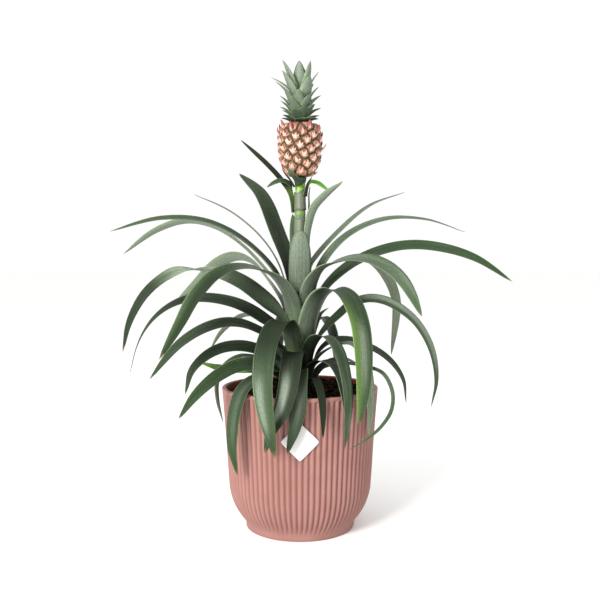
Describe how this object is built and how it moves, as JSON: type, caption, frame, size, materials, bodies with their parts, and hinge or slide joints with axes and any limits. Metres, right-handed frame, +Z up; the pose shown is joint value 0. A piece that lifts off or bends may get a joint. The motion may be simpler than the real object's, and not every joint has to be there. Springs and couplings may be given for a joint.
{
  "type": "potted pineapple plant",
  "caption": "Ornamental pineapple plant in a round ribbed pot: arching strap leaves round an upright stalk that carries a small fruit with a leafy crown.",
  "frame": {"origin": "middle of the pot's flat underside", "axes": "+Z up along the stem, -Y towards the front with the label, +X to the right seen from the front"},
  "size_m": [0.3713, 0.2232, 0.415],
  "materials": {
    "pot": "matte dusty pink, moulded",
    "potting_soil": "loose, fibrous, nearly black",
    "stem": "green plant stem with pale dried sheaths, satin",
    "fruit": "scaly rind, salmon with olive brown seams",
    "crown": "waxy grey green leaf",
    "leaf_grey": "waxy leaf with a grey bloom, satin",
    "leaf_green": "waxy leaf, fresh green, satin",
    "leaf_dark": "waxy leaf, dark green, satin",
    "leaf_pale": "pale underside of a leaf, powdery",
    "leaf_lime": "young leaf, lime green, satin",
    "label": "smooth white label"
  },
  "bodies": {
    "root": {"pot": "pot", "potting_soil": "potting_soil", "stem": "stem", "fruit": "fruit", "crown": "crown", "pot_label": "label", "leaf_01": "leaf_dark", "leaf_02": "leaf_pale", "leaf_03": "leaf_grey", "leaf_04": "leaf_grey", "leaf_05": "leaf_dark", "leaf_06": "leaf_pale", "leaf_07": "leaf_dark", "leaf_08": "leaf_grey", "leaf_09": "leaf_green", "leaf_10": "leaf_grey", "leaf_11": "leaf_green", "leaf_12": "leaf_pale", "leaf_13": "leaf_green", "leaf_14": "leaf_pale", "leaf_15": "leaf_pale", "leaf_16": "leaf_green", "leaf_17": "leaf_grey", "leaf_18": "leaf_green", "leaf_19": "leaf_pale", "leaf_20": "leaf_dark", "leaf_21": "leaf_pale", "leaf_22": "leaf_green", "leaf_23": "leaf_green", "leaf_24": "leaf_green", "leaf_25": "leaf_dark", "leaf_26": "leaf_green", "leaf_27": "leaf_grey", "leaf_28": "leaf_dark", "leaf_29": "leaf_dark", "leaf_30": "leaf_dark", "leaf_31": "leaf_pale", "leaf_32": "leaf_pale", "leaf_33": "leaf_green", "leaf_34": "leaf_dark", "leaf_35": "leaf_green", "leaf_36": "leaf_grey", "leaf_37": "leaf_dark", "leaf_38": "leaf_green", "leaf_39": "leaf_dark", "leaf_40": "leaf_green", "leaf_41": "leaf_dark", "fruit_bract_1": "leaf_green", "fruit_bract_2": "leaf_lime", "fruit_bract_3": "leaf_grey", "fruit_bract_4": "leaf_dark", "fruit_bract_5": "leaf_dark", "fruit_bract_6": "leaf_green", "fruit_bract_7": "leaf_green"}
  },
  "joints": []
}
